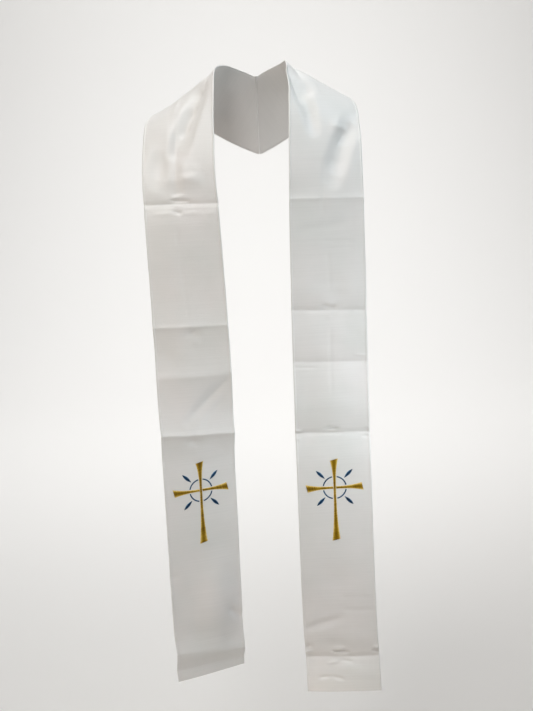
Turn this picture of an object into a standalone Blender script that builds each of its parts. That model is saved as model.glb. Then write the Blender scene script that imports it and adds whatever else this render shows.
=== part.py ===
# Clerical stole, worn: two long strips of white satin, sewn together at the centre back of the neck,
# that lie over the shoulders and hang straight down the front, with a cross embroidered on each.
#
# Units are metres. +Z is up, the front faces -Y, and +X is the wearer's left.
# The origin is the nape, where the stole bears on the back of the neck.

import math
from collections import namedtuple

import bmesh
import bpy
from mathutils import Vector

OBJECT_NAME = "clerical_stole"

# The cut of one strip
NECK_WIDTH = 0.128
HEM_WIDTH = 0.135
WEARERS_LEFT_LENGTH = 1.281     # down the middle, from the centre back seam to the hem
WEARERS_RIGHT_LENGTH = 1.248
SEAM_SLANT = 0.074        # how much longer the outer edge is than the inner one, from the slanting seam
CLOTH = 0.0020            # satin, interlining and backing together
SEAM_GAP = 0.0003         # between the two strips

# How it is worn
SEAM_FLAT = 0.004         # the pressed seam lies square across the back for this far
SEAM_SLIP = 0.014         # the seam has slipped this far towards the wearer's left
SLANT_REACH = 0.16        # the rows lie square across the strip from this distance on

# The wall's divisions
COLUMNS = 10
SHOULDER_LENGTH = 0.34    # the stretch of strip from the seam to below the shoulder
SHOULDER_STEP = 0.0135    # between rows there
HANGING_STEP = 0.034      # between rows on the straight stretch below
CREASE_SHARES = (-1.0, -0.5, 0.0, 0.5, 1.0)     # extra rows at a crosswise fold, in its reach
PRESS_SHARES = (-1.0, -0.6, -0.25, 0.0, 0.25, 0.6, 1.0)    # and at a line pressed across
ROW_CLEARANCE = 0.005

# Where each strip's section lines lie, from the seam to the hem. The inner end of a line is on the
# neck edge. x is outwards from the middle of the body, and bow is how far the cloth's middle stands
# out from the straight line between the ends.
Section = namedtuple("Section", "inner_x inner_y inner_z outer_x outer_y outer_z bow")

WEARERS_LEFT_SECTIONS = [
    Section(SEAM_FLAT + SEAM_SLIP, 0.000, -0.004, SEAM_FLAT + SEAM_SLIP, 0.046, -0.145, 0.003),
    Section(0.0370, -0.007, 0.004, 0.0530, 0.045, -0.126, 0.004),
    Section(0.0530, -0.020, 0.011, 0.0860, 0.038, -0.106, 0.005),
    Section(0.0620, -0.038, 0.017, 0.1140, 0.026, -0.085, 0.007),
    Section(0.0680, -0.056, 0.016, 0.1370, 0.009, -0.062, 0.008),
    Section(0.0715, -0.074, 0.003, 0.1570, -0.011, -0.050, 0.009),
    Section(0.0730, -0.093, -0.021, 0.1735, -0.034, -0.049, 0.008),
    Section(0.0700, -0.111, -0.052, 0.1840, -0.064, -0.064, 0.006),
    Section(0.0665, -0.128, -0.092, 0.1885, -0.092, -0.097, 0.004),
    Section(0.0640, -0.144, -0.152, 0.1880, -0.118, -0.155, 0.003),
    Section(0.0610, -0.155, -0.236, 0.1860, -0.139, -0.237, 0.002),
    Section(0.0570, -0.160, -0.365, 0.1850, -0.151, -0.366, 0.001),
    Section(0.0540, -0.160, -0.505, 0.1840, -0.155, -0.505, 0.000),
    Section(0.0520, -0.160, -0.690, 0.1835, -0.158, -0.690, 0.000),
    Section(0.0490, -0.160, -0.900, 0.1850, -0.161, -0.900, 0.000),
    Section(0.0505, -0.160, -1.000, 0.1850, -0.165, -1.000, 0.001),
    Section(0.0540, -0.166, -1.060, 0.1850, -0.174, -1.060, 0.003),
    Section(0.0550, -0.178, -1.112, 0.1845, -0.188, -1.112, 0.005),
]

WEARERS_RIGHT_SECTIONS = [
    Section(SEAM_FLAT - SEAM_SLIP, 0.000, -0.004, SEAM_FLAT - SEAM_SLIP, 0.046, -0.145, 0.003),
    Section(0.0180, -0.005, 0.006, 0.0370, 0.045, -0.119, 0.003),
    Section(0.0400, -0.020, 0.014, 0.0830, 0.036, -0.091, 0.003),
    Section(0.0540, -0.043, 0.013, 0.1180, 0.019, -0.076, 0.004),
    Section(0.0590, -0.068, 0.000, 0.1470, -0.004, -0.065, 0.006),
    Section(0.0570, -0.092, -0.028, 0.1720, -0.029, -0.064, 0.006),
    Section(0.0515, -0.111, -0.061, 0.1920, -0.060, -0.078, 0.005),
    Section(0.0545, -0.128, -0.103, 0.1950, -0.090, -0.111, 0.004),
    Section(0.0620, -0.144, -0.162, 0.1915, -0.118, -0.165, 0.002),
    Section(0.0615, -0.155, -0.240, 0.1880, -0.140, -0.241, 0.001),
    Section(0.0585, -0.159, -0.365, 0.1850, -0.153, -0.366, 0.000),
    Section(0.0565, -0.158, -0.480, 0.1840, -0.160, -0.480, 0.000),
    Section(0.0595, -0.140, -0.640, 0.1825, -0.176, -0.640, 0.000),
    Section(0.0600, -0.136, -0.800, 0.1830, -0.180, -0.800, 0.000),
    Section(0.0610, -0.133, -0.950, 0.1830, -0.184, -0.950, 0.001),
    Section(0.0620, -0.130, -1.030, 0.1815, -0.187, -1.030, 0.002),
    Section(0.0630, -0.129, -1.073, 0.1810, -0.191, -1.073, 0.003),
]

# The largest folds and creases. Each runs in a straight line on the cloth, from one point to another:
# down is the distance from the seam, across runs from 0 at the neck edge to 1 at the outer edge.
# height is out of the cloth for a ridge and negative for a trough.
Fold = namedtuple("Fold", "down across end_down end_across height reach")

WEARERS_LEFT_FOLDS = [
    Fold(0.160, 0.11, 0.228, 0.28, -0.0095, 0.021),       # from the neck down to the chest
    Fold(0.228, 0.28, 0.265, 0.34, -0.0055, 0.018),
    Fold(0.250, 0.88, 0.292, 0.72, -0.0075, 0.027),       # round the front of the shoulder
    Fold(0.292, 0.72, 0.346, 0.59, -0.0075, 0.028),
    Fold(0.255, 0.70, 0.268, 0.68, 0.0030, 0.024),
    Fold(0.438, 0.12, 0.425, 0.81, -0.0026, 0.013),
    Fold(0.640, 0.55, 0.840, 0.50, 0.0022, 0.050),        # the strip bows forward down its middle
    Fold(1.164, 0.03, 1.145, 0.53, -0.0022, 0.014),
    Fold(1.246, 0.00, 1.248, 1.00, 0.0028, 0.016),
]

WEARERS_RIGHT_FOLDS = [
    Fold(0.181, 0.22, 0.296, 0.50, -0.0100, 0.025),       # from the neck down to the chest
    Fold(0.235, 0.56, 0.372, 0.53, -0.0022, 0.016),       # down the middle
    Fold(0.335, 0.36, 0.355, 0.36, 0.0040, 0.030),
    Fold(0.290, 0.72, 0.345, 0.78, -0.0046, 0.027),
    Fold(0.430, 0.62, 0.980, 0.62, 0.0026, 0.055),        # the strip bows forward
    Fold(1.050, 0.35, 1.180, 0.38, 0.0082, 0.050),
    Fold(0.695, 0.06, 0.767, 0.59, -0.0042, 0.017),       # slanting
    Fold(0.722, 0.06, 0.783, 0.44, -0.0020, 0.014),
    Fold(1.044, 0.97, 1.061, 0.97, -0.0026, 0.020),
    Fold(1.127, 0.20, 1.159, 0.00, -0.0030, 0.016),
]

# Pressed across from edge to edge, as the stole was stored folded: the cloth bends there, and lies
# flatter again at reach from the line. down is the line's place at the neck edge, end_down at the
# outer edge.
Press = namedtuple("Press", "down end_down height reach")

WEARERS_LEFT_PRESSES = [
    Press(0.383, 0.385, 0.0012, 0.024),
    Press(0.574, 0.580, -0.0052, 0.045),
    Press(0.666, 0.671, -0.0048, 0.045),
    Press(0.796, 0.799, -0.0088, 0.060),
    Press(1.219, 1.221, -0.0074, 0.050),
]

WEARERS_RIGHT_PRESSES = [
    Press(0.388, 0.387, -0.0030, 0.040),
    Press(0.599, 0.599, 0.0050, 0.050),
    Press(0.686, 0.690, 0.0044, 0.045),
    Press(0.796, 0.790, 0.0085, 0.050),
    Press(1.211, 1.197, 0.0042, 0.040),
    Press(1.232, 1.228, -0.0022, 0.022),
]

# The embroidery, on each strip a cross with a ring and four leaves. right is across the cloth towards
# +X and up is towards the neck, from the cross's middle.
MOTIF_DOWN = 0.897        # from the centre back seam to the cross's middle
MOTIF_LIFT = 0.0003       # clear of the satin
STITCH_HEIGHT = 0.0008    # a satin-stitched bar stands this far proud along its middle
STITCH_WALL = 0.0004
CROSS_UP = 0.052
CROSS_DOWN = 0.098
CROSS_SIDE = 0.050
BAR_HALF_WIDTH = 0.0024
FLARE_HALF_WIDTH = 0.0080
FLARE_POWER = 2.5
RING_RADIUS = 0.0205
RING_HALF_WIDTH = 0.0013
RING_START = math.radians(11.5)
LEAF_START = 0.0245
LEAF_END = 0.0460
LEAF_HALF_WIDTH = 0.0031
LEAF_TIP = 0.0003
BAR_CLEARANCE = 0.0004    # between the cross's upright and its side arms
UPRIGHT_ROWS = 14
ARM_ROWS = 6
RING_ROWS = 8
LEAF_ROWS = 6

# Colour, roughness and sheen
SATIN_FINISH = ((0.82, 0.80, 0.77), 0.42, 0.3)
GOLD_FINISH = ((0.45, 0.29, 0.06), 0.38, 0.2)
BLUE_FINISH = ((0.03, 0.11, 0.32), 0.40, 0.2)

Half = namedtuple("Half", "name side length sections folds presses")

HALVES = [
    Half(
        "wearers_left",
        1,
        WEARERS_LEFT_LENGTH,
        WEARERS_LEFT_SECTIONS,
        WEARERS_LEFT_FOLDS,
        WEARERS_LEFT_PRESSES,
    ),
    Half(
        "wearers_right",
        -1,
        WEARERS_RIGHT_LENGTH,
        WEARERS_RIGHT_SECTIONS,
        WEARERS_RIGHT_FOLDS,
        WEARERS_RIGHT_PRESSES,
    ),
]

PROBE = 0.001             # step for measuring a slope on the cloth


def fade(distance, start, end):
    """1 up to start and 0 from end on, smoothly between."""
    share = min(1.0, max(0.0, (distance - start) / (end - start)))
    return 1.0 - share * share * (3.0 - 2.0 * share)


def strip_width(half, down):
    return NECK_WIDTH + (HEM_WIDTH - NECK_WIDTH) * down / half.length


def row_slant(down):
    """How much further down the cloth a row's outer end is than its inner end, below zero by the seam."""
    return -SEAM_SLANT * fade(down, SEAM_FLAT, SLANT_REACH)


def section_places(sections):
    """The distance from the seam of each section: the mean of the way down the strip's two edges."""
    places = [SEAM_FLAT]
    for last, section in zip(sections, sections[1:]):
        inner_step = math.dist(last[0:3], section[0:3])
        outer_step = math.dist(last[3:6], section[3:6])
        places.append(places[-1] + (inner_step + outer_step) / 2)
    return places


PLACES = {half.name: section_places(half.sections) for half in HALVES}


def read_sections(half, down):
    """The section at this distance, on a smooth curve through those of the table."""
    sections = half.sections
    places = PLACES[half.name]
    last = len(sections) - 1
    index = 0
    while index < last - 1 and places[index + 1] < down:
        index += 1
    span = places[index + 1] - places[index]
    t = (down - places[index]) / span

    def slope(at, column):
        before, after = max(0, at - 1), min(last, at + 1)
        return (sections[after][column] - sections[before][column]) / (places[after] - places[before])

    values = []
    for column in range(len(Section._fields)):
        start, end = sections[index][column], sections[index + 1][column]
        rise_start, rise_end = slope(index, column) * span, slope(index + 1, column) * span
        values.append(
            start
            + rise_start * t
            + (3 * (end - start) - 2 * rise_start - rise_end) * t ** 2
            + (2 * (start - end) + rise_start + rise_end) * t ** 3
        )
    return Section(*values)


def row_point(half, down, across):
    """A point on the straight line of the row, and the row's bow."""
    section = read_sections(half, down)
    inner = Vector((section.inner_x, section.inner_y, section.inner_z))
    outer = Vector((section.outer_x, section.outer_y, section.outer_z))
    length = math.hypot(strip_width(half, down), row_slant(down))
    point = (inner + outer) / 2 + (outer - inner).normalized() * length * (across - 0.5)
    point.x *= half.side
    return point, section.bow


def fold_height(half, down, across):
    """How far the folds lift the cloth here."""
    width = strip_width(half, down)
    here = Vector((across * width, down))
    height = 0.0
    for fold in half.folds:
        start = Vector((fold.across * width, fold.down))
        run = Vector((fold.end_across * width, fold.end_down)) - start
        share = min(1.0, max(0.0, (here - start).dot(run) / run.length_squared))
        distance = (here - start - run * share).length
        if distance < fold.reach:
            height += fold.height * (0.5 + 0.5 * math.cos(math.pi * distance / fold.reach))
    for press in half.presses:
        distance = abs(down - press.down - (press.end_down - press.down) * across)
        if distance < press.reach:
            height += press.height * (1.0 - distance / press.reach) ** 2
    return height


def cloth_point(half, down, across):
    """A point of the cloth's outer face and the direction out of the cloth there."""
    down = max(down, SEAM_FLAT)
    point, bow = row_point(half, down, across)
    along = row_point(half, down + PROBE, across)[0] - point
    sideways = row_point(half, down, across + PROBE)[0] - row_point(half, down, across - PROBE)[0]
    outwards = (sideways.cross(along) * -half.side).normalized()
    height = bow * 4 * across * (1 - across) + fold_height(half, down, across)
    return point + outwards * height, outwards


def panel_point(half, down, across):
    point = cloth_point(half, down, across)[0]
    if down < SEAM_FLAT:
        point.x = SEAM_SLIP + half.side * SEAM_GAP / 2
    return point


def row_places(half):
    """The distances from the seam at which the wall has a row of points."""
    marked = []
    for fold in half.folds:
        if abs(fold.end_down - fold.down) < fold.reach:
            middle = (fold.down + fold.end_down) / 2
            marked += [middle + share * fold.reach for share in CREASE_SHARES]
    for press in half.presses:
        middle = (press.down + press.end_down) / 2
        marked += [middle + share * press.reach for share in PRESS_SHARES]
    places = list(marked)
    place = SEAM_FLAT
    while place < half.length:
        if min(abs(place - other) for other in marked) > ROW_CLEARANCE:
            places.append(place)
        place += SHOULDER_STEP if place < SHOULDER_LENGTH else HANGING_STEP
    kept = [0.0, SEAM_FLAT]
    for place in sorted(places):
        if place - kept[-1] > ROW_CLEARANCE and half.length - place > ROW_CLEARANCE:
            kept.append(place)
    return kept + [half.length]


def make_material(name, color, roughness, sheen):
    material = bpy.data.materials.new(name)
    material.use_nodes = True
    shader = material.node_tree.nodes["Principled BSDF"]
    shader.inputs["Base Color"].default_value = (*color, 1.0)
    shader.inputs["Roughness"].default_value = roughness
    shader.inputs["Metallic"].default_value = 0.0
    shader.inputs["Sheen Weight"].default_value = sheen
    return material


def sheet_object(name, columns, rows, place, thickness, material, collection):
    """A wall under a grid of points. place takes the shares of the grid's width and length."""
    mesh = bpy.data.meshes.new(name)
    grid = bmesh.new()
    bmesh.ops.create_grid(grid, x_segments=columns, y_segments=rows, size=0.5)
    for vertex in grid.verts:
        vertex.co = place(vertex.co.x + 0.5, vertex.co.y + 0.5)
    grid.to_mesh(mesh)
    grid.free()
    mesh.shade_smooth()
    mesh.materials.append(material)
    obj = bpy.data.objects.new(name, mesh)
    collection.objects.link(obj)
    wall = obj.modifiers.new("wall", "SOLIDIFY")
    wall.thickness = thickness
    wall.offset = -1
    return obj


def make_panel(half, material, collection):
    rows = row_places(half)

    def place(share_across, share_down):
        across = share_across if half.side < 0 else 1.0 - share_across
        return panel_point(half, rows[round(share_down * (len(rows) - 1))], across)

    sheet_object("panel_" + half.name, COLUMNS, len(rows) - 1, place, CLOTH, material, collection)


def motif_point(half, right, up, height):
    """A point above the cloth, by its place in the motif."""
    down = MOTIF_DOWN - up
    across = 0.5 + half.side * right / strip_width(half, down)
    point, outwards = cloth_point(half, down, across)
    return point + outwards * (MOTIF_LIFT + height)


def make_bar(half, name, rows, centre, half_width, material, collection):
    """A satin-stitched bar along a line of the motif. centre gives the line's point and direction."""

    def place(share_across, share_along):
        right, up, direction = centre(share_along)
        aside = (share_across - 0.5) * 2 * half_width(share_along)
        right += aside * math.sin(direction)
        up -= aside * math.cos(direction)
        crest = (STITCH_HEIGHT - STITCH_WALL) * (1 - abs(2 * share_across - 1))
        return motif_point(half, right, up, STITCH_WALL + crest)

    sheet_object(name + "_" + half.name, 2, rows, place, STITCH_WALL, material, collection)


def straight(start, end, direction):
    """A centre line between two distances from the cross's middle, in one direction."""

    def centre(share):
        distance = start + (end - start) * share
        return distance * math.cos(direction), distance * math.sin(direction), direction

    return centre


def arc(radius, start, end):
    def centre(share):
        angle = start + (end - start) * share
        return radius * math.cos(angle), radius * math.sin(angle), angle + math.pi / 2

    return centre


def make_motif(half, gold, blue, collection):
    flare = FLARE_HALF_WIDTH - BAR_HALF_WIDTH

    def upright_width(share):
        up = -CROSS_DOWN + (CROSS_UP + CROSS_DOWN) * share
        reach = CROSS_UP if up > 0 else CROSS_DOWN
        return BAR_HALF_WIDTH + flare * (abs(up) / reach) ** FLARE_POWER

    def arm_width(share):
        return BAR_HALF_WIDTH + flare * share ** FLARE_POWER

    def ring_width(share):
        return RING_HALF_WIDTH

    def leaf_width(share):
        return LEAF_TIP + (LEAF_HALF_WIDTH - LEAF_TIP) * math.sin(math.pi * share)

    def upright_line(share):
        return 0.0, -CROSS_DOWN + (CROSS_UP + CROSS_DOWN) * share, math.pi / 2

    make_bar(half, "cross_upright", UPRIGHT_ROWS, upright_line, upright_width, gold, collection)
    arm_start = BAR_HALF_WIDTH + BAR_CLEARANCE
    outwards = 0.0 if half.side > 0 else math.pi
    for name, direction in (("outer", outwards), ("inner", math.pi - outwards)):
        line = straight(arm_start, CROSS_SIDE, direction)
        make_bar(half, "cross_arm_" + name, ARM_ROWS, line, arm_width, gold, collection)
    for quarter in range(4):
        turn = quarter * math.pi / 2
        line = arc(RING_RADIUS, turn + RING_START, turn + math.pi / 2 - RING_START)
        make_bar(half, f"ring_{quarter + 1}", RING_ROWS, line, ring_width, blue, collection)
        line = straight(LEAF_START, LEAF_END, turn + math.pi / 4)
        make_bar(half, f"leaf_{quarter + 1}", LEAF_ROWS, line, leaf_width, blue, collection)


def main():
    for obj in list(bpy.data.objects):
        bpy.data.objects.remove(obj, do_unlink=True)
    collection = bpy.data.collections.new(OBJECT_NAME)
    bpy.context.scene.collection.children.link(collection)
    satin = make_material("white_satin", *SATIN_FINISH)
    gold = make_material("gold_thread", *GOLD_FINISH)
    blue = make_material("blue_thread", *BLUE_FINISH)
    for half in HALVES:
        make_panel(half, satin, collection)
        make_motif(half, gold, blue, collection)


main()
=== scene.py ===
import math
import random
from collections import namedtuple

import bpy
from mathutils import Euler, Matrix, Vector, noise


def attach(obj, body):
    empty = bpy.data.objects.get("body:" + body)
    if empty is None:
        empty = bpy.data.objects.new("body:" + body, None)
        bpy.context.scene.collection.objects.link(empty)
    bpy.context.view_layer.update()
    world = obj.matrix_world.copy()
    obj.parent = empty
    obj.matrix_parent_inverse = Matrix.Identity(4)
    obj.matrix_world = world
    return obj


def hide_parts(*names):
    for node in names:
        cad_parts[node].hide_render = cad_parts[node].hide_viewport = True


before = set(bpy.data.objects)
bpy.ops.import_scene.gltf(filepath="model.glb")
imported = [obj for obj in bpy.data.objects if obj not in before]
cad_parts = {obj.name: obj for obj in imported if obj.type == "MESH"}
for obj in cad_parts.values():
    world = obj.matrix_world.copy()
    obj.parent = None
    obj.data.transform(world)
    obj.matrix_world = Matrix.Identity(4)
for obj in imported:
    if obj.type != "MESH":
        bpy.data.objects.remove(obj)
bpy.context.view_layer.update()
print("frame loaded:", len(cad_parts), "solids")


# The cut of a strip, and how it lies round the neck. These are the sizes of the solids.
cut = {
    "neckWidth": 0.128,
    "hemWidth": 0.135,
    "lengthLeft": 1.281,
    "lengthRight": 1.248,
    "seamSlant": 0.074,      # outer edge longer than the inner one
    "seamFlat": 0.004,       # square across the back for this far
    "seamSlip": 0.014,       # seam off the middle, towards +X
    "seamGap": 0.0003,
    "slantReach": 0.16,      # rows lie square across the strip from here on
}

# Ends of the lines across each strip, x outwards from the middle, and how far the cloth bows out
Section = namedtuple("Section", "innerX innerY innerZ outerX outerY outerZ bow")
seamLeft = cut["seamFlat"] + cut["seamSlip"]
seamRight = cut["seamFlat"] - cut["seamSlip"]

sectionsLeft = [
    Section(seamLeft, 0.000, -0.004, seamLeft, 0.046, -0.145, 0.003),
    Section(0.0370, -0.007, 0.004, 0.0530, 0.045, -0.126, 0.004),
    Section(0.0530, -0.020, 0.011, 0.0860, 0.038, -0.106, 0.005),
    Section(0.0620, -0.038, 0.017, 0.1140, 0.026, -0.085, 0.007),
    Section(0.0680, -0.056, 0.016, 0.1370, 0.009, -0.062, 0.008),
    Section(0.0715, -0.074, 0.003, 0.1570, -0.011, -0.050, 0.009),
    Section(0.0730, -0.093, -0.021, 0.1735, -0.034, -0.049, 0.008),
    Section(0.0700, -0.111, -0.052, 0.1840, -0.064, -0.064, 0.006),
    Section(0.0665, -0.128, -0.092, 0.1885, -0.092, -0.097, 0.004),
    Section(0.0640, -0.144, -0.152, 0.1880, -0.118, -0.155, 0.003),
    Section(0.0610, -0.155, -0.236, 0.1860, -0.139, -0.237, 0.002),
    Section(0.0570, -0.160, -0.365, 0.1850, -0.151, -0.366, 0.001),
    Section(0.0540, -0.160, -0.505, 0.1840, -0.155, -0.505, 0.000),
    Section(0.0520, -0.160, -0.690, 0.1835, -0.158, -0.690, 0.000),
    Section(0.0490, -0.160, -0.900, 0.1850, -0.161, -0.900, 0.000),
    Section(0.0505, -0.160, -1.000, 0.1850, -0.165, -1.000, 0.001),
    Section(0.0540, -0.166, -1.060, 0.1850, -0.174, -1.060, 0.003),
    Section(0.0550, -0.178, -1.112, 0.1845, -0.188, -1.112, 0.005),
]

sectionsRight = [
    Section(seamRight, 0.000, -0.004, seamRight, 0.046, -0.145, 0.003),
    Section(0.0180, -0.005, 0.006, 0.0370, 0.045, -0.119, 0.003),
    Section(0.0400, -0.020, 0.014, 0.0830, 0.036, -0.091, 0.003),
    Section(0.0540, -0.043, 0.013, 0.1180, 0.019, -0.076, 0.004),
    Section(0.0590, -0.068, 0.000, 0.1470, -0.004, -0.065, 0.006),
    Section(0.0570, -0.092, -0.028, 0.1720, -0.029, -0.064, 0.006),
    Section(0.0515, -0.111, -0.061, 0.1920, -0.060, -0.078, 0.005),
    Section(0.0545, -0.128, -0.103, 0.1950, -0.090, -0.111, 0.004),
    Section(0.0620, -0.144, -0.162, 0.1915, -0.118, -0.165, 0.002),
    Section(0.0615, -0.155, -0.240, 0.1880, -0.140, -0.241, 0.001),
    Section(0.0585, -0.159, -0.365, 0.1850, -0.153, -0.366, 0.000),
    Section(0.0565, -0.158, -0.480, 0.1840, -0.160, -0.480, 0.000),
    Section(0.0595, -0.140, -0.640, 0.1825, -0.176, -0.640, 0.000),
    Section(0.0600, -0.136, -0.800, 0.1830, -0.180, -0.800, 0.000),
    Section(0.0610, -0.133, -0.950, 0.1830, -0.184, -0.950, 0.001),
    Section(0.0620, -0.130, -1.030, 0.1815, -0.187, -1.030, 0.002),
    Section(0.0630, -0.129, -1.073, 0.1810, -0.191, -1.073, 0.003),
]

# Folds lie in straight runs on the cloth. down is from the seam, across is 0 at the neck edge and
# 1 at the outer edge, and a trough has a height below zero.
Fold = namedtuple("Fold", "down across endDown endAcross height reach")

# The soft ones. The solids have them too, with some a little deeper.
foldsLeft = [
    Fold(0.160, 0.11, 0.228, 0.28, -0.0095, 0.021),
    Fold(0.228, 0.28, 0.265, 0.34, -0.0055, 0.018),
    Fold(0.250, 0.88, 0.292, 0.72, -0.0075, 0.027),
    Fold(0.292, 0.72, 0.346, 0.59, -0.0075, 0.028),
    Fold(0.255, 0.70, 0.268, 0.68, 0.0030, 0.024),
    Fold(0.438, 0.12, 0.425, 0.81, -0.0013, 0.014),
    Fold(0.640, 0.55, 0.840, 0.50, 0.0022, 0.050),
    Fold(1.164, 0.03, 1.145, 0.53, -0.0022, 0.014),
    Fold(1.246, 0.00, 1.248, 1.00, 0.0010, 0.016),
]

foldsRight = [
    Fold(0.181, 0.22, 0.296, 0.50, -0.0100, 0.025),
    Fold(0.235, 0.56, 0.372, 0.53, -0.0022, 0.016),
    Fold(0.335, 0.36, 0.355, 0.36, 0.0040, 0.030),
    Fold(0.290, 0.72, 0.345, 0.78, -0.0046, 0.027),
    Fold(0.430, 0.62, 0.980, 0.62, 0.0026, 0.055),
    Fold(1.050, 0.35, 1.180, 0.38, 0.0082, 0.050),
    Fold(0.695, 0.06, 0.767, 0.59, -0.0034, 0.018),
    Fold(0.722, 0.06, 0.783, 0.44, -0.0012, 0.014),
    Fold(1.044, 0.97, 1.061, 0.97, -0.0026, 0.020),
    Fold(1.127, 0.20, 1.159, 0.00, -0.0030, 0.016),
]

# Pressed across from edge to edge, as the strip was stored folded: the cloth bends there, and lies
# flatter again at reach from the line
Press = namedtuple("Press", "down endDown height reach")

pressesLeft = [
    Press(0.383, 0.385, 0.0012, 0.024),
    Press(0.574, 0.580, -0.0052, 0.045),
    Press(0.666, 0.671, -0.0048, 0.045),
    Press(0.796, 0.799, -0.0088, 0.060),
    Press(1.219, 1.221, -0.0088, 0.055),
]

pressesRight = [
    Press(0.388, 0.387, -0.0030, 0.040),
    Press(0.599, 0.599, 0.0050, 0.050),
    Press(0.686, 0.690, 0.0044, 0.045),
    Press(0.796, 0.790, 0.0085, 0.050),
    Press(1.211, 1.197, 0.0066, 0.040),
    Press(1.232, 1.228, -0.0022, 0.022),
]

# The fine ones, which the solids don't have: lines beside the soft folds, the sharp tips of the
# pressed lines, and the puckers where those cross
creasesLeft = [
    Fold(0.100, 0.10, 0.205, 0.34, -0.0042, 0.020),
    Fold(0.138, 0.02, 0.222, 0.18, -0.0034, 0.013),
    Fold(0.262, 0.80, 0.300, 0.66, -0.0020, 0.014),
    Fold(0.167, 0.44, 0.213, 0.53, -0.0008, 0.007),
    Fold(0.381, -0.10, 0.387, 1.10, 0.0008, 0.009),
    Fold(0.457, 0.38, 0.460, 0.90, -0.0008, 0.006),
    Fold(0.467, 0.40, 0.470, 0.88, -0.0008, 0.006),
    Fold(0.573, -0.10, 0.580, 1.10, -0.0010, 0.008),
    Fold(0.664, -0.10, 0.672, 1.10, -0.0008, 0.008),
    Fold(0.675, -0.05, 0.677, 0.36, -0.0007, 0.005),
    Fold(0.795, -0.10, 0.800, 1.10, -0.0017, 0.009),
    Fold(1.105, 0.50, 1.108, 1.00, -0.0007, 0.006),
    Fold(1.130, 0.50, 1.132, 1.05, -0.0008, 0.007),
    Fold(1.164, -0.02, 1.145, 0.55, -0.0008, 0.008),
    Fold(1.218, -0.10, 1.221, 1.10, -0.0009, 0.008),
    Fold(1.257, 0.12, 1.253, 0.36, -0.0026, 0.006),
    Fold(1.253, 0.30, 1.260, 0.54, -0.0022, 0.006),
    Fold(0.314, 0.47, 0.415, 0.44, -0.0007, 0.006),
    Fold(0.472, 0.50, 0.541, 0.52, -0.0005, 0.006),
    Fold(0.600, 0.51, 0.730, 0.50, -0.0005, 0.006),
    Fold(0.5655, 0.40, 0.5660, 0.60, 0.0018, 0.005),
    Fold(0.5690, 0.36, 0.5720, 0.64, -0.0028, 0.006),
    Fold(0.5880, 0.44, 0.5890, 0.56, 0.0008, 0.005),
    Fold(0.6580, 0.78, 0.6600, 1.02, 0.0010, 0.005),
    Fold(0.7830, 0.42, 0.7860, 0.56, 0.0018, 0.005),
    Fold(0.7875, 0.36, 0.7910, 0.62, -0.0030, 0.006),
    Fold(0.7890, -0.05, 0.7930, 0.12, 0.0026, 0.006),
    Fold(0.8060, -0.03, 0.8050, 0.10, 0.0014, 0.005),
    Fold(0.7900, 0.90, 0.7880, 1.03, 0.0015, 0.005),
    Fold(0.8080, 0.86, 0.8070, 1.05, -0.0024, 0.006),
    Fold(1.2060, 0.34, 1.2040, 0.56, 0.0034, 0.006),
    Fold(1.2090, 0.34, 1.2120, 0.62, -0.0040, 0.006),
    Fold(1.2320, 0.26, 1.2280, 0.46, 0.0018, 0.006),
    Fold(1.2255, 0.44, 1.2300, 0.66, -0.0018, 0.006),
    Fold(1.1990, -0.05, 1.1960, 0.14, -0.0032, 0.006),
    Fold(1.2100, -0.06, 1.2085, 0.13, 0.0034, 0.006),
    Fold(1.2020, 0.87, 1.2035, 1.06, 0.0034, 0.006),
    Fold(1.2110, 0.88, 1.2125, 1.06, -0.0034, 0.006),
]

creasesRight = [
    Fold(0.172, 0.21, 0.275, 0.44, -0.0034, 0.020),
    Fold(0.120, 0.10, 0.185, 0.16, -0.0016, 0.012),
    Fold(0.147, 0.56, 0.250, 0.59, 0.0009, 0.008),
    Fold(0.386, 1.10, 0.389, -0.10, -0.0013, 0.009),
    Fold(0.403, 0.93, 0.406, 0.00, 0.0007, 0.007),
    Fold(0.599, 1.10, 0.599, -0.10, 0.0008, 0.008),
    Fold(0.685, 1.05, 0.686, 0.30, 0.0007, 0.009),
    Fold(0.695, 0.04, 0.767, 0.61, -0.0012, 0.009),
    Fold(0.719, 0.04, 0.783, 0.46, -0.0004, 0.008),
    Fold(0.789, 1.10, 0.796, -0.10, 0.0010, 0.010),
    Fold(1.104, 0.60, 1.113, -0.05, -0.0007, 0.008),
    Fold(1.127, 0.26, 1.159, -0.05, -0.0012, 0.010),
    Fold(1.197, 1.10, 1.211, -0.10, -0.0009, 0.009),
    Fold(0.235, 0.56, 0.363, 0.53, -0.0008, 0.007),
    Fold(0.422, 0.56, 0.461, 0.59, -0.0007, 0.007),
    Fold(0.480, 0.56, 0.590, 0.52, -0.0005, 0.006),
    Fold(0.3700, 0.42, 0.3705, 0.64, -0.0012, 0.005),
    Fold(0.3740, 0.40, 0.3780, 0.64, 0.0026, 0.006),
    Fold(0.3835, 0.34, 0.3805, 0.68, -0.0028, 0.006),
    Fold(0.3900, 0.62, 0.3925, 0.46, 0.0014, 0.005),
    Fold(0.3985, 0.64, 0.4060, 0.46, -0.0032, 0.006),
    Fold(0.4050, 0.60, 0.4090, 0.50, 0.0012, 0.005),
    Fold(0.3790, -0.03, 0.3800, 0.06, 0.0015, 0.005),
    Fold(0.3950, 0.92, 0.3930, 1.04, 0.0015, 0.005),
    Fold(0.6050, 0.40, 0.6140, 0.56, -0.0016, 0.009),
    Fold(0.6230, 0.36, 0.6320, 0.50, 0.0010, 0.009),
    Fold(0.8010, 0.50, 0.8060, 0.66, -0.0016, 0.009),
    Fold(0.8130, 0.50, 0.8160, 0.62, 0.0009, 0.008),
    Fold(1.1860, 0.58, 1.1880, 0.70, 0.0010, 0.006),
]

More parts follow.
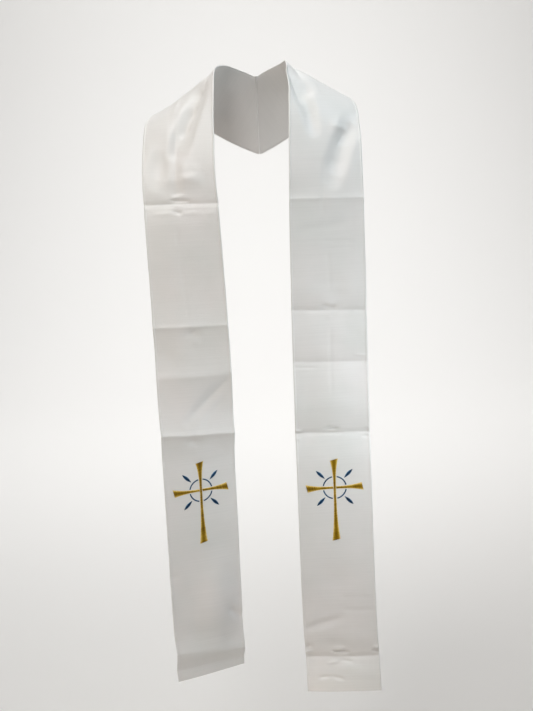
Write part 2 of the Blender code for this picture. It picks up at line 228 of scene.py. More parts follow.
# Round bulges and hollows, reach in metres each way
Dimple = namedtuple("Dimple", "down across reachDown reachAcross height")

dimplesLeft = [
    Dimple(0.050, 0.40, 0.030, 0.035, 0.0020),
    Dimple(0.110, 0.62, 0.035, 0.030, -0.0015),
    Dimple(0.530, 0.52, 0.034, 0.040, -0.0016),
    Dimple(0.550, 0.60, 0.016, 0.030, -0.0012),
    Dimple(0.630, 0.50, 0.026, 0.035, -0.0012),
    Dimple(0.740, 0.45, 0.030, 0.045, 0.0010),
    Dimple(1.070, 0.45, 0.045, 0.040, -0.0015),
    Dimple(1.185, 0.70, 0.022, 0.035, 0.0010),
    Dimple(1.196, 0.40, 0.018, 0.030, -0.0012),
    Dimple(1.238, 0.55, 0.012, 0.030, 0.0010),
]

dimplesRight = [
    Dimple(0.060, 0.55, 0.035, 0.035, 0.0018),
    Dimple(0.120, 0.35, 0.030, 0.030, -0.0015),
    Dimple(0.364, 0.60, 0.020, 0.034, -0.0016),
    Dimple(0.366, 0.36, 0.018, 0.030, -0.0014),
    Dimple(0.500, 0.52, 0.050, 0.030, -0.0012),
    Dimple(0.612, 0.48, 0.016, 0.024, -0.0022),
    Dimple(0.645, 0.62, 0.026, 0.030, 0.0012),
    Dimple(0.804, 0.58, 0.014, 0.022, -0.0018),
    Dimple(0.830, 0.40, 0.022, 0.036, 0.0012),
    Dimple(1.010, 0.45, 0.026, 0.036, 0.0012),
    Dimple(1.090, 0.85, 0.034, 0.028, -0.0014),
    Dimple(1.130, 0.55, 0.040, 0.034, 0.0012),
    Dimple(1.190, 0.20, 0.020, 0.030, -0.0012),
]

Half = namedtuple("Half", "name side length sections folds presses creases dimples")
halves = [
    Half("wearers_left", 1, cut["lengthLeft"],
         sectionsLeft, foldsLeft, pressesLeft, creasesLeft, dimplesLeft),
    Half("wearers_right", -1, cut["lengthRight"],
         sectionsRight, foldsRight, pressesRight, creasesRight, dimplesRight),
]


# The lie of the cloth

def fade(distance, start, end):
    # 1 up to the start, and smoothly down to 0 at the end
    share = min(1.0, max(0.0, (distance - start) / (end - start)))
    return 1.0 - share * share * (3.0 - 2.0 * share)


def stripWidth(half, down):
    return cut["neckWidth"] + (cut["hemWidth"] - cut["neckWidth"]) * down / half.length


def rowSlant(down):
    return -cut["seamSlant"] * fade(down, cut["seamFlat"], cut["slantReach"])


def sectionPlaces(sections):
    places = [cut["seamFlat"]]
    for last, section in zip(sections, sections[1:]):
        innerStep = math.dist(last[0:3], section[0:3])
        outerStep = math.dist(last[3:6], section[3:6])
        places.append(places[-1] + (innerStep + outerStep) / 2)
    return places


placesOf = {half.name: sectionPlaces(half.sections) for half in halves}


def readSections(half, down):
    # a smooth curve through the sections of the table
    sections, places = half.sections, placesOf[half.name]
    last = len(sections) - 1
    index = 0
    while index < last - 1 and places[index + 1] < down:
        index += 1
    span = places[index + 1] - places[index]
    t = (down - places[index]) / span
    values = []
    for column in range(len(Section._fields)):
        slopes = []
        for at in (index, index + 1):
            before, after = max(0, at - 1), min(last, at + 1)
            rise = sections[after][column] - sections[before][column]
            slopes.append(rise / (places[after] - places[before]) * span)
        start, end = sections[index][column], sections[index + 1][column]
        square = 3 * (end - start) - 2 * slopes[0] - slopes[1]
        cube = 2 * (start - end) + slopes[0] + slopes[1]
        values.append(start + slopes[0] * t + square * t ** 2 + cube * t ** 3)
    return Section(*values)


def rowLine(half, down):
    # middle of the row, its run from the inner to the outer edge, and its bow
    section = readSections(half, down)
    inner = Vector(section[0:3])
    outer = Vector(section[3:6])
    run = (outer - inner).normalized() * math.hypot(stripWidth(half, down), rowSlant(down))
    middle = (inner + outer) / 2
    middle.x *= half.side
    run.x *= half.side
    return middle, run, section.bow


relief = {
    "probe": 0.001,          # step for measuring a slope
    "foldEnd": 0.45,         # share of its depth that a soft fold keeps at its ends
    "pressTip": 0.0016,      # a pressed bend is rounded this much
    "creaseTip": 0.0006,     # and a fine line this much
    "creaseUneven": 0.70,    # share by which a fine line gets deeper and shallower
    "creaseWander": 0.0010,  # and how far it wanders off its line
    "creaseWave": 46.0,
    "creaseSeed": 97.0,
    "creaseTaper": 0.015,    # it fades out over this much of each end
    "swell": 0.0012,         # slow unevenness of the whole cloth
    "swellWave": 12.0,
    "swellSeed": 3.0,
    "ripple": 0.00036,       # and a finer one
    "rippleWave": 36.0,
    "rippleSeed": 7.0,
    "edgePucker": 0.0005,    # pull of the seam along the turned edges
    "edgeReach": 0.009,
    "edgeWave": 70.0,
    "innerSeed": 5.0,
    "outerSeed": 11.0,
    "edgeBead": 0.0008,      # the turned edge is thicker
    "beadPlace": 0.0019,
    "beadReach": 0.0021,
}


def nearTo(half, down):
    # the folds, presses, creases and dimples that reach this row
    def reaching(lines):
        close = []
        for line in lines:
            reach = line.reach + relief["creaseWander"]
            if min(line.down, line.endDown) - reach < down < max(line.down, line.endDown) + reach:
                close.append(line)
        return close

    dimples = [dimple for dimple in half.dimples if abs(dimple.down - down) < dimple.reachDown]
    return reaching(half.folds), reaching(half.presses), reaching(half.creases), dimples


def hump(distance, reach):
    # a round back: 1 in the middle, 0 at its reach
    return 0.5 + 0.5 * math.cos(math.pi * distance / reach)


def foldHeight(fold, x, down, width):
    startX, startY = fold.across * width, fold.down
    runX, runY = fold.endAcross * width - startX, fold.endDown - startY
    share = ((x - startX) * runX + (down - startY) * runY) / (runX ** 2 + runY ** 2)
    share = min(1.0, max(0.0, share))
    distance = math.hypot(x - startX - runX * share, down - startY - runY * share)
    if distance >= fold.reach:
        return 0.0
    fuller = (1.0 - relief["foldEnd"]) * math.sin(math.pi * share)
    return fold.height * (relief["foldEnd"] + fuller) * hump(distance, fold.reach)


def pressHeight(press, down, across):
    offset = down - press.down - (press.endDown - press.down) * across
    distance = math.hypot(offset, relief["pressTip"]) - relief["pressTip"]
    if distance >= press.reach:
        return 0.0
    return press.height * (1.0 - distance / press.reach) ** 2


def creaseHeight(crease, x, down, width, side):
    startX, startY = crease.across * width, crease.down
    runX, runY = crease.endAcross * width - startX, crease.endDown - startY
    length = math.hypot(runX, runY)
    share = ((x - startX) * runX + (down - startY) * runY) / length ** 2
    if not 0.0 < share < 1.0:
        return 0.0
    wave = share * length * relief["creaseWave"]
    waver = noise.noise(Vector((wave, crease.down * relief["creaseSeed"], side)))
    offset = ((x - startX) * runY - (down - startY) * runX) / length
    offset += relief["creaseWander"] * waver
    distance = math.hypot(offset, relief["creaseTip"]) - relief["creaseTip"]
    if distance >= crease.reach:
        return 0.0
    taper = 1.0 - fade(min(share, 1.0 - share) * length, 0.0, relief["creaseTaper"])
    depth = crease.height * taper * (1.0 + relief["creaseUneven"] * waver)
    return depth * (1.0 - distance / crease.reach) ** 2


def dimpleHeight(dimple, down, across, width):
    away = math.hypot((down - dimple.down) / dimple.reachDown,
                      (across - dimple.across) * width / dimple.reachAcross)
    return dimple.height * hump(away, 1.0) if away < 1.0 else 0.0


def uneven(x, down, wave, seed):
    return noise.noise(Vector((x * wave, down * wave, seed)))


def reliefHeight(half, down, across, near):
    width = stripWidth(half, down)
    x = across * width
    height = 0.0
    folds, presses, creases, dimples = near
    for fold in folds:
        height += foldHeight(fold, x, down, width)
    for press in presses:
        height += pressHeight(press, down, across)
    for crease in creases:
        height += creaseHeight(crease, x, down, width, half.side)
    for dimple in dimples:
        height += dimpleHeight(dimple, down, across, width)
    swell = uneven(x, down, relief["swellWave"], relief["swellSeed"] * half.side)
    ripple = uneven(x, down, relief["rippleWave"], relief["rippleSeed"] * half.side)
    height += relief["swell"] * swell + relief["ripple"] * ripple
    toEdge = min(across, 1.0 - across) * width
    if toEdge < relief["edgeReach"]:
        seed = relief["innerSeed"] if across < 0.5 else relief["outerSeed"]
        pucker = noise.noise(Vector((down * relief["edgeWave"], seed, half.side)))
        height += relief["edgePucker"] * pucker * (1.0 - toEdge / relief["edgeReach"]) ** 2
    offset = abs(toEdge - relief["beadPlace"])
    if offset < relief["beadReach"]:
        height += relief["edgeBead"] * hump(offset, relief["beadReach"])
    return height


def clothPoint(half, down, across, lines=None, near=None):
    # a point of the outer face, and the way out of the cloth there
    down = max(down, cut["seamFlat"])
    if lines is None:
        lines = rowLine(half, down), rowLine(half, down + relief["probe"])
        near = nearTo(half, down)
    (middle, run, bow), (nextMiddle, nextRun, _) = lines
    point = middle + run * (across - 0.5)
    along = nextMiddle + nextRun * (across - 0.5) - point
    outwards = (run.cross(along) * -half.side).normalized()
    height = bow * 4 * across * (1 - across) + reliefHeight(half, down, across, near)
    return point + outwards * height, outwards


# Tools for the meshes

def newGrid(name, columns, rows):
    bpy.ops.object.select_all(action="DESELECT")
    bpy.ops.mesh.primitive_grid_add(x_subdivisions=columns, y_subdivisions=rows, size=1.0,
                                    calc_uvs=True)
    piece = bpy.context.object
    piece.name = name
    piece.data.name = name
    return piece


def shapeGrid(piece, columns, rows, place):
    # place takes a column and a row, and gives the point and its place on the pattern's map
    mesh = piece.data
    spots = {}
    for vertex in mesh.vertices:
        column = round((vertex.co.x + 0.5) * columns)
        row = round((vertex.co.y + 0.5) * rows)
        vertex.co, spots[vertex.index] = place(column, row)
    layer = mesh.uv_layers[0]
    layer.name = "clothMap"
    for loop in mesh.loops:
        layer.data[loop.index].uv = spots[loop.vertex_index]
    mesh.update()


def selectOnly(pieces):
    bpy.ops.object.select_all(action="DESELECT")
    for piece in pieces:
        piece.select_set(True)
    bpy.context.view_layer.objects.active = pieces[0]


def addWall(piece, thickness):
    # inwards from the outer face
    wall = piece.modifiers.new("wall", "SOLIDIFY")
    wall.thickness = thickness
    wall.offset = -1


def applyAll(piece):
    selectOnly([piece])
    for modifier in list(piece.modifiers):
        bpy.ops.object.modifier_apply(modifier=modifier.name)


# Materials

def newMaterial(name, settings):
    material = bpy.data.materials.new(name)
    material.use_nodes = True
    shader = material.node_tree.nodes["Principled BSDF"]
    for socket, value in settings.items():
        shader.inputs[socket].default_value = value
    return material, material.node_tree.nodes, material.node_tree.links, shader


def mapNode(nodes, links, scale):
    # the piece's own map, stretched
    uvMap = nodes.new("ShaderNodeUVMap")
    uvMap.uv_map = "clothMap"
    stretch = nodes.new("ShaderNodeMapping")
    stretch.inputs["Scale"].default_value = scale
    links.new(uvMap.outputs["UV"], stretch.inputs["Vector"])
    return stretch.outputs["Vector"]


def noiseNode(nodes, links, vector, scale, detail):
    cloud = nodes.new("ShaderNodeTexNoise")
    cloud.inputs["Scale"].default_value = scale
    cloud.inputs["Detail"].default_value = detail
    links.new(vector, cloud.inputs["Vector"])
    return cloud.outputs["Fac"]


def rampNode(nodes, links, value, stops):
    ramp = nodes.new("ShaderNodeValToRGB")
    points = ramp.color_ramp.elements
    stops = list(stops)
    while len(points) < len(stops):
        points.new(0.5)
    for point, (place, color) in zip(points, stops):
        point.position = place
        point.color = (*color, 1.0)
    links.new(value, ramp.inputs["Fac"])
    return ramp.outputs["Color"]


def bumpNode(nodes, links, height, distance, under=None):
    bump = nodes.new("ShaderNodeBump")
    bump.inputs["Distance"].default_value = distance
    links.new(height, bump.inputs["Height"])
    if under is not None:
        links.new(under, bump.inputs["Normal"])
    return bump.outputs["Normal"]


def layAlong(nodes, links, shader):
    # the gloss is stretched along the piece's map
    tangent = nodes.new("ShaderNodeTangent")
    tangent.direction_type = "UV_MAP"
    tangent.uv_map = "clothMap"
    links.new(tangent.outputs["Tangent"], shader.inputs["Tangent"])


satin = {
    "light": (0.800, 0.778, 0.764),
    "dark": (0.738, 0.740, 0.720),
    "patchScale": 9.0,         # slow change from the light to the dark
    "patchDetail": 3.0,
    "patchStops": (0.30, 0.70),
    "slubDark": 0.976,         # share of the light in a thick weft thread's shade
    "slubScale": (9.0, 520.0, 1.0),
    "slubDetail": 2.0,
    "slubStops": (0.35, 0.60),
    "slubDepth": 0.00011,
    "weaveScale": (2600.0, 2600.0, 1.0),
    "weaveBands": 0.35,
    "weaveDistortion": 1.2,
    "weaveDepth": 0.00004,
    "shader": {
        "Roughness": 0.38,
        "Specular IOR Level": 0.50,
        "Anisotropic": 0.55,
        "Sheen Weight": 0.12,
        "Sheen Roughness": 0.45,
    },
}


def makeSatin():
    material, nodes, links, shader = newMaterial("whiteSatin", satin["shader"])
    objectPlace = nodes.new("ShaderNodeTexCoord").outputs["Object"]
    patches = noiseNode(nodes, links, objectPlace, satin["patchScale"], satin["patchDetail"])
    patchTones = (satin["dark"], satin["light"])
    base = rampNode(nodes, links, patches, zip(satin["patchStops"], patchTones))
    slubMap = mapNode(nodes, links, satin["slubScale"])
    slubs = noiseNode(nodes, links, slubMap, 1.0, satin["slubDetail"])
    slubTones = ((satin["slubDark"],) * 3, (1.0, 1.0, 1.0))
    slubTone = rampNode(nodes, links, slubs, zip(satin["slubStops"], slubTones))
    shade = nodes.new("ShaderNodeMix")
    shade.data_type = "RGBA"
    shade.blend_type = "MULTIPLY"
    shade.inputs["Factor"].default_value = 1.0
    links.new(base, shade.inputs["A"])
    links.new(slubTone, shade.inputs["B"])
    links.new(shade.outputs["Result"], shader.inputs["Base Color"])
    weave = nodes.new("ShaderNodeTexWave")
    weave.wave_type = "BANDS"
    weave.bands_direction = "DIAGONAL"
    weave.inputs["Scale"].default_value = satin["weaveBands"]
    weave.inputs["Distortion"].default_value = satin["weaveDistortion"]
    links.new(mapNode(nodes, links, satin["weaveScale"]), weave.inputs["Vector"])
    fine = bumpNode(nodes, links, weave.outputs["Fac"], satin["weaveDepth"])
    normal = bumpNode(nodes, links, slubs, satin["slubDepth"], fine)
    links.new(normal, shader.inputs["Normal"])
    layAlong(nodes, links, shader)
    return material


threads = {
    "gold": [
        (0.0, (0.090, 0.042, 0.001)),
        (0.5, (0.380, 0.225, 0.003)),
        (1.0, (0.950, 0.740, 0.260)),
    ],
    "blue": [
        (0.0, (0.003, 0.010, 0.026)),
        (0.5, (0.010, 0.045, 0.112)),
        (1.0, (0.090, 0.270, 0.470)),
    ],
    "fibreScale": (600.0, 9000.0, 1.0),
    "fibreDetail": 2.0,
    "fibreDepth": 0.00004,
    "shader": {
        "Roughness": 0.36,
        "Specular IOR Level": 0.20,
        "Anisotropic": 0.45,
    },
}


def makeThread(name, stops):
    # each stitch has a tone of its own, lighter at the bar's edges (partly a lighter edge run,
    # partly a painted highlight) and with painted shade between threads, and fine fibres along it
    material, nodes, links, shader = newMaterial(name, threads["shader"])
    tone = nodes.new("ShaderNodeAttribute")
    tone.attribute_name = "stitchTone"
    color = rampNode(nodes, links, tone.outputs["Fac"], stops)
    links.new(color, shader.inputs["Base Color"])
    fibreMap = mapNode(nodes, links, threads["fibreScale"])
    fibres = noiseNode(nodes, links, fibreMap, 1.0, threads["fibreDetail"])
    links.new(bumpNode(nodes, links, fibres, threads["fibreDepth"]), shader.inputs["Normal"])
    layAlong(nodes, links, shader)
    return material


satinMaterial = makeSatin()
goldMaterial = makeThread("goldThread", threads["gold"])
blueMaterial = makeThread("blueThread", threads["blue"])
print("materials made")


# The two strips, each turned at its edges and closed

strip = {
    "columns": 76,
    "edgeColumns": 0.68,       # how much closer the columns are at the edges
    "rowStep": 0.0032,
    "creaseStep": 0.0012,      # between rows at a crosswise pressed line
    "creaseReach": 0.014,
    "motifStep": 0.0020,       # under the embroidery
    "hemStep": 0.0016,         # and at the hem
    "hemReach": 0.045,
    "motifStart": 0.835,
    "motifEnd": 1.005,
    "wall": 0.0018,
    "edgeRound": 0.0006,
    "edgeAngle": math.radians(60),
    "edgeSegments": 2,
    "seamRoll": 0.0010,        # the turned end at the seam dips this far
    "seamRows": (0.0, 0.0007, 0.0016, 0.0027),
}


def rowPlaces(half):
    # closer together at the lines that run from edge to edge, under the embroidery and at the hem
    lines = [(crease.down + crease.endDown) / 2 for crease in half.creases
             if abs(crease.endAcross - crease.across) > 1]
    rows = list(strip["seamRows"])
    place = cut["seamFlat"]
    while place < half.length - strip["creaseStep"]:
        rows.append(place)
        step = strip["rowStep"]
        if strip["motifStart"] < place < strip["motifEnd"]:
            step = strip["motifStep"]
        if place > half.length - strip["hemReach"]:
            step = strip["hemStep"]
        if any(abs(place - line) < strip["creaseReach"] for line in lines):
            step = strip["creaseStep"]
        place += step
    return rows + [half.length]


def columnShare(column, columns):
    share = column / columns
    return share - strip["edgeColumns"] * math.sin(2 * math.pi * share) / (2 * math.pi)


def makeStrip(half):
    rows = rowPlaces(half)
    columns = strip["columns"]
    piece = newGrid("cloth_" + half.name, columns, len(rows) - 1)
    starts = [max(down, cut["seamFlat"]) for down in rows]
    lines = [(rowLine(half, down), rowLine(half, down + relief["probe"])) for down in starts]
    near = [nearTo(half, down) for down in starts]

    def place(column, row):
        across = columnShare(column if half.side < 0 else columns - column, columns)
        down = rows[row]
        point, outwards = clothPoint(half, down, across, lines[row], near[row])
        if down < cut["seamFlat"]:
            share = down / cut["seamFlat"]
            seam = cut["seamSlip"] + half.side * cut["seamGap"] / 2
            point.x = seam + (point.x - seam) * share
            point -= outwards * strip["seamRoll"] * (1.0 - share) ** 2
        return point, (across * stripWidth(half, down), down + rowSlant(down) * (across - 0.5))

    shapeGrid(piece, columns, len(rows) - 1, place)
    piece.data.materials.append(satinMaterial)
    addWall(piece, strip["wall"])
    rounding = piece.modifiers.new("turned edge", "BEVEL")
    rounding.width = strip["edgeRound"]
    rounding.segments = strip["edgeSegments"]
    rounding.limit_method = "ANGLE"
    rounding.angle_limit = strip["edgeAngle"]
    applyAll(piece)
    bpy.ops.object.shade_smooth()
    return piece


stripPieces = {half.name: makeStrip(half) for half in halves}
print("strips draped:", [len(piece.data.polygons) for piece in stripPieces.values()], "faces")


# The embroidery: bars of satin stitch in a cross, a ring and four leaves

motif = {
    "down": 0.897,             # from the seam to the cross's middle
    "crossUp": 0.052,
    "crossDown": 0.098,
    "crossSide": 0.050,
    "barHalfWidth": 0.0024,
    "flareHalfWidth": 0.0080,
    "flarePower": 2.5,
    "ringRadius": 0.0205,
    "ringHalfWidth": 0.0013,
    "ringStart": math.radians(11.5),
    "leafStart": 0.0245,
    "leafEnd": 0.0460,
    "leafHalfWidth": 0.0031,
    "leafTip": 0.0003,
    "barClearance": 0.0004,
    "seedLeft": 40,            # where the random draws of each strip's bars start
    "seedRight": 80,
    "seedSkip": 2,             # the first bar's own draws
}

stitch = {
    "pitch": 0.00042,          # from one thread to the next
    "fewest": 8,               # threads in the shortest bar
    "rise": 0.00013,           # each thread's own roundness
    "padding": 0.00075,        # the middle of a bar stands this proud
    "paddingFlat": 0.0024,     # on a bar of this half width or more
    "paddingPower": 2.4,
    "buried": 0.00025,         # its edges go down into the satin
    "lean": 0.22,              # slant of the threads to the bar
    "ragged": 0.00016,         # uneven ends
    "vein": 0.00022,           # groove down a leaf's middle
    "veinNarrow": 3,
    "columns": 8,
    "rowsEach": 3,             # for one thread
    "wall": 0.00022,
    "middleTone": 0.22,        # a bar's tone, dark to light, in its middle
    "edgeThreadAndHighlight": 0.92,          # and how much lighter its edges are: partly a lighter edge run, partly a painted highlight
    "edgePower": 1.7,
    "toneSpread": 0.10,        # from thread to thread
    "waveTone": 0.20,          # and slowly along the bar
    "waveScale": 60.0,
    "waveStarts": 50,
    "paintedGrooveShade": -0.16,       # painted shade in the groove between two threads
}


def motifPoint(half, right, up, height):
    down = motif["down"] - up
    across = 0.5 + half.side * right / stripWidth(half, down)
    point, outwards = clothPoint(half, down, across)
    return point + outwards * height


def paintTones(piece, rows, length, halfWidth, tones, seed):
    layer = piece.data.attributes.new("stitchTone", "FLOAT", "POINT")
    slow = random.Random(seed + 1).uniform(0, stitch["waveStarts"])
    spots = [0.0] * len(piece.data.vertices)
    grid = piece.data.uv_layers[0].data
    for loop in piece.data.loops:
        aside, along = grid[loop.index].uv
        number, phase = divmod(round(along / length * rows), stitch["rowsEach"])
        toEdge = min(1.0, abs(aside) / halfWidth(along / length))
        wave = noise.noise(Vector((along * stitch["waveScale"], slow, 0.0)))
        # painted shade in the groove between two threads
        grooveShade = 0.0 if phase else stitch["paintedGrooveShade"]
        # lighter towards the bar's edges: partly a lighter edge run, partly a painted highlight
        tone = stitch["middleTone"] + stitch["edgeThreadAndHighlight"] * toEdge ** stitch["edgePower"]
        tone = tone + stitch["waveTone"] * wave + tones[number] + grooveShade
        spots[loop.vertex_index] = min(1.0, max(0.0, tone))
    layer.data.foreach_set("value", spots)


def makeBar(half, name, length, centre, halfWidth, material, seed, veined=False):
    count = max(stitch["fewest"], round(length / stitch["pitch"]))
    rows = count * stitch["rowsEach"]
    columns = stitch["columns"]
    dice = random.Random(seed)
    ends = [(dice.uniform(-1, 1), dice.uniform(-1, 1)) for _ in range(count + 1)]
    tones = [dice.gauss(0.0, stitch["toneSpread"]) for _ in range(count + 1)]
    piece = newGrid(name + "_stitches_" + half.name, columns, rows)

    def place(column, row):
        number, phase = divmod(row, stitch["rowsEach"])
        share = row / rows
        right, up, direction = centre(share)
        side = column / columns * 2 - 1
        reach = halfWidth(share)
        crown = 1.0 if phase else 0.0
        if abs(side) == 1.0:
            reach += stitch["ragged"] * (ends[number][column > 0] + crown)
        aside = side * reach
        lean = stitch["lean"] * (abs(aside) if veined else aside)
        right += aside * math.sin(direction) + lean * math.cos(direction)
        up += -aside * math.cos(direction) + lean * math.sin(direction)
        pad = stitch["padding"] * min(1.0, halfWidth(share) / stitch["paddingFlat"])
        height = pad * (1 - abs(side) ** stitch["paddingPower"]) + stitch["rise"] * crown
        if veined:
            height -= stitch["vein"] * max(0.0, 1 - abs(side) * stitch["veinNarrow"])
        if abs(side) == 1.0:
            height = -stitch["buried"]
        return motifPoint(half, right, up, height), (aside, share * length)

    shapeGrid(piece, columns, rows, place)
    paintTones(piece, rows, length, halfWidth, tones, seed)
    piece.data.materials.append(material)
    addWall(piece, stitch["wall"])
    applyAll(piece)
    bpy.ops.object.shade_smooth()
    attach(piece, "root")
    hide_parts(name + "_" + half.name)
    return piece


def straight(start, end, direction):
    def centre(share):
        distance = start + (end - start) * share
        return distance * math.cos(direction), distance * math.sin(direction), direction
    return centre


def arc(radius, start, end):
    def centre(share):
        angle = start + (end - start) * share
        return radius * math.cos(angle), radius * math.sin(angle), angle + math.pi / 2
    return centre


def makeMotif(half):
    flare = motif["flareHalfWidth"] - motif["barHalfWidth"]
    height = motif["crossUp"] + motif["crossDown"]

    def uprightWidth(share):
        up = -motif["crossDown"] + height * share
        reach = motif["crossUp"] if up > 0 else motif["crossDown"]
        return motif["barHalfWidth"] + flare * (abs(up) / reach) ** motif["flarePower"]

    def armWidth(share):
        return motif["barHalfWidth"] + flare * share ** motif["flarePower"]

    def ringWidth(share):
        return motif["ringHalfWidth"]

    def leafWidth(share):
        swelling = motif["leafHalfWidth"] - motif["leafTip"]
        return motif["leafTip"] + swelling * math.sin(math.pi * share)

    seed = motif["seedLeft"] if half.side > 0 else motif["seedRight"]
    upright = straight(-motif["crossDown"], motif["crossUp"], math.pi / 2)
    pieces = [makeBar(half, "cross_upright", height, upright, uprightWidth,
                      goldMaterial, seed)]

    def addBar(name, length, line, halfWidth, material, veined=False):
        pieces.append(makeBar(half, name, length, line, halfWidth, material,
                              seed + motif["seedSkip"] + len(pieces), veined))

    armStart = motif["barHalfWidth"] + motif["barClearance"]
    outwards = 0.0 if half.side > 0 else math.pi
    for name, direction in (("outer", outwards), ("inner", math.pi - outwards)):
        line = straight(armStart, motif["crossSide"], direction)
        addBar("cross_arm_" + name, motif["crossSide"] - armStart, line, armWidth,
               goldMaterial)
    sweep = math.pi / 2 - 2 * motif["ringStart"]
    for quarter in range(4):
        turn = quarter * math.pi / 2
        start = turn + motif["ringStart"]
        addBar(f"ring_{quarter + 1}", motif["ringRadius"] * sweep,
               arc(motif["ringRadius"], start, start + sweep), ringWidth,
               blueMaterial)
        addBar(f"leaf_{quarter + 1}", motif["leafEnd"] - motif["leafStart"],
               straight(motif["leafStart"], motif["leafEnd"], turn + math.pi / 4), leafWidth,
               blueMaterial, veined=True)
    return pieces


embroidery = {half.name: makeMotif(half) for half in halves}
print("embroidery stitched:", sum(len(pieces) for pieces in embroidery.values()), "bars")


# The seam at the nape, closed by hand with small slanting stitches

seamThread = {
    "pitch": 0.0032,
    "halfLength": 0.0011,
    "halfWidth": 0.00018,
    "rise": 0.0003,
    "lean": 0.35,              # slant of each stitch to the seam
    "margin": 0.004,           # clear of the strip's edges
    "probe": 0.01,             # step for measuring the way of the seam
    "sides": 6,
    "segments": 4,
}


def makeSeamStitches():
    half = halves[0]
    length = math.hypot(stripWidth(half, 0.0), rowSlant(0.0))
    count = int((length - 2 * seamThread["margin"]) / seamThread["pitch"])
    made = []
    for number in range(count):
        across = (seamThread["margin"] + seamThread["pitch"] * (number + 0.5)) / length
        point, outwards = clothPoint(half, cut["seamFlat"], across)
        further, _ = clothPoint(half, cut["seamFlat"], across + seamThread["probe"])
        bpy.ops.object.select_all(action="DESELECT")
        bpy.ops.mesh.primitive_uv_sphere_add(segments=seamThread["sides"],
                                             ring_count=seamThread["segments"], radius=1.0)
        piece = bpy.context.object
        seam = Vector((cut["seamSlip"], point.y, point.z))
        seam -= outwards * (strip["seamRoll"] - seamThread["rise"])
        run = (further - point).normalized()
        slant = (Vector((1.0, 0.0, 0.0)) + run * seamThread["lean"]).normalized()
        aside = slant.cross(outwards).normalized()
        for vertex in piece.data.vertices:
            long, wide, tall = vertex.co
            vertex.co = (seam + slant * long * seamThread["halfLength"]
                         + aside * wide * seamThread["halfWidth"]
                         + outwards * tall * seamThread["halfWidth"])
        made.append(piece)
    selectOnly(made)
    bpy.ops.object.join()
    piece = bpy.context.object
    piece.name = "seam_stitches"
    piece.data.materials.clear()
    piece.data.materials.append(satinMaterial)
    piece.data.uv_layers[0].name = "clothMap"
    bpy.ops.object.shade_smooth()
    return piece


seamStitches = makeSeamStitches()
print("seam closed")


# What rides on what, and each strip's cut

for half in halves:
    piece = stripPieces[half.name]
    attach(piece, "root")
    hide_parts("panel_" + half.name)
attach(seamStitches, "root")


# Floor, light and camera

studio = {
    "floorDown": -1.52,
    "color": (0.82, 0.82, 0.815),
    "glow": (0.070, 0.062, 0.052),   # a lit floor, which fills the shade from below
    "shader": {
        "Roughness": 0.9,
        "Specular IOR Level": 0.1,
        "Emission Strength": 1.0,
    },
    "halfWidth": 14.0,
    "near": -16.0,             # the floor runs from here
    "far": 3.6,                # to here, and then sweeps up
    "sweep": 2.4,              # radius
    "sweepSteps": 16,
    "wallUp": 5.0,
    "nearFar": 0.01,           # an edge this close to the far end is the one that sweeps up
    "merge": 0.0001,
    "sky": (0.55, 0.55, 0.55),
    "skyStrength": 0.06,
}


def makeFloor():
    # a floor that sweeps up behind into a wall
    bpy.ops.object.select_all(action="DESELECT")
    middle = (studio["near"] + studio["far"]) / 2
    bpy.ops.mesh.primitive_plane_add(size=1.0, location=(0.0, middle, studio["floorDown"]))
    floor = bpy.context.object
    floor.name = "floor"
    floor.scale = (2 * studio["halfWidth"], studio["far"] - studio["near"], 1.0)
    bpy.ops.object.transform_apply(location=True, rotation=True, scale=True)
    bpy.ops.object.mode_set(mode="EDIT")
    bpy.ops.mesh.select_mode(type="EDGE")
    bpy.ops.mesh.select_all(action="DESELECT")
    bpy.ops.object.mode_set(mode="OBJECT")
    for edge in floor.data.edges:
        ends = [floor.data.vertices[index].co.y for index in edge.vertices]
        edge.select = min(ends) > studio["far"] - studio["nearFar"]
    bpy.ops.object.mode_set(mode="EDIT")
    centre = (0.0, studio["far"], studio["floorDown"] + studio["sweep"])
    bpy.ops.mesh.spin(steps=studio["sweepSteps"], angle=-math.pi / 2, center=centre,
                      axis=(1.0, 0.0, 0.0))
    rise = (0.0, 0.0, studio["wallUp"])
    bpy.ops.mesh.extrude_region_move(TRANSFORM_OT_translate={"value": rise})
    bpy.ops.mesh.select_all(action="SELECT")
    bpy.ops.mesh.remove_doubles(threshold=studio["merge"])
    bpy.ops.mesh.normals_make_consistent(inside=False)
    bpy.ops.object.mode_set(mode="OBJECT")
    bpy.ops.object.shade_smooth()
    material, _, _, shader = newMaterial("paleFloor", studio["shader"])
    shader.inputs["Base Color"].default_value = (*studio["color"], 1.0)
    shader.inputs["Emission Color"].default_value = (*studio["glow"], 1.0)
    floor.data.materials.append(material)


def makeSky():
    world = bpy.data.worlds.new("studio")
    bpy.context.scene.world = world
    world.use_nodes = True
    background = world.node_tree.nodes["Background"]
    background.inputs["Color"].default_value = (*studio["sky"], 1.0)
    background.inputs["Strength"].default_value = studio["skyStrength"]


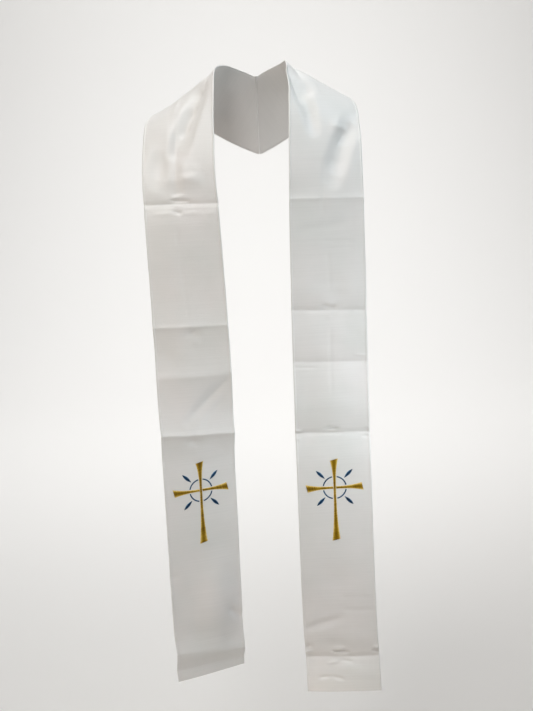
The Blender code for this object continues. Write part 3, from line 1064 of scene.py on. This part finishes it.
lamps = {
    # place, what it looks at, size, power in watts, colour, spread in degrees
    "overhead": ((-0.7, -1.8, 2.1), (0.0, -0.12, -0.50), 1.3, 48.0, (1.0, 0.980, 0.955), 180),
    "shoulderTop": ((0.0, -0.22, 1.6), (0.0, -0.05, -0.1), 0.8, 9.5, (1.0, 0.985, 0.965), 180),
    "shoulderSide": ((0.95, -0.50, 0.60), (0.15, -0.07, -0.11), 0.4, 1.30, (0.78, 0.92, 1.0), 90),
    "warmSide": ((-0.85, -0.55, -0.05), (-0.12, -0.12, -0.35), 0.5, 1.75, (1.0, 0.91, 0.81), 180),
    "nearSide": ((0.52, -0.52, -0.58), (0.12, -0.16, -0.59), 0.3, 0.80, (0.87, 0.95, 1.0), 120),
    "lowWarm": ((-0.70, -1.05, -1.00), (-0.10, -0.15, -1.05), 0.6, 1.75, (1.0, 0.83, 0.68), 180),
    "hemWarm": ((0.10, -0.80, -1.24), (0.07, -0.18, -1.34), 0.2, 0.17, (1.0, 0.87, 0.77), 60),
    "floorWash": ((0.0, 2.4, 2.6), (0.0, 2.4, -1.5), 2.5, 34.0, (1.0, 1.0, 1.0), 125),
    "wallWash": ((0.0, 2.6, 3.0), (0.0, 6.0, -0.6), 4.0, 90.0, (1.0, 1.0, 1.0), 130),
}


def makeLamp(name, place, target, size, power, color, spread):
    light = bpy.data.lights.new(name, "AREA")
    light.shape = "DISK"
    light.size = size
    light.energy = power
    light.color = color
    light.spread = math.radians(spread)
    lamp = bpy.data.objects.new(name, light)
    lamp.location = place
    lamp.rotation_euler = (Vector(target) - Vector(place)).to_track_quat("-Z", "Y").to_euler()
    lamp.visible_camera = False
    bpy.context.scene.collection.objects.link(lamp)


view = {
    "place": (0.008, -2.289, -0.029),
    "pitch": math.radians(12.0),
    "roll": math.radians(2.9),
    "lens": 63.3,
    "sensor": 36.0,
}


def makeCamera():
    data = bpy.data.cameras.new("camera")
    data.lens = view["lens"]
    data.sensor_width = view["sensor"]
    camera = bpy.data.objects.new("camera", data)
    camera.location = view["place"]
    level = Euler((math.pi / 2 - view["pitch"], 0.0, 0.0)).to_matrix()
    camera.rotation_euler = (level @ Matrix.Rotation(-view["roll"], 3, "Z")).to_euler()
    bpy.context.scene.collection.objects.link(camera)
    bpy.context.scene.camera = camera


makeFloor()
makeSky()
for lampName, values in lamps.items():
    makeLamp(lampName, *values)
makeCamera()
bpy.context.scene.view_settings.view_transform = "Standard"
print("studio set")
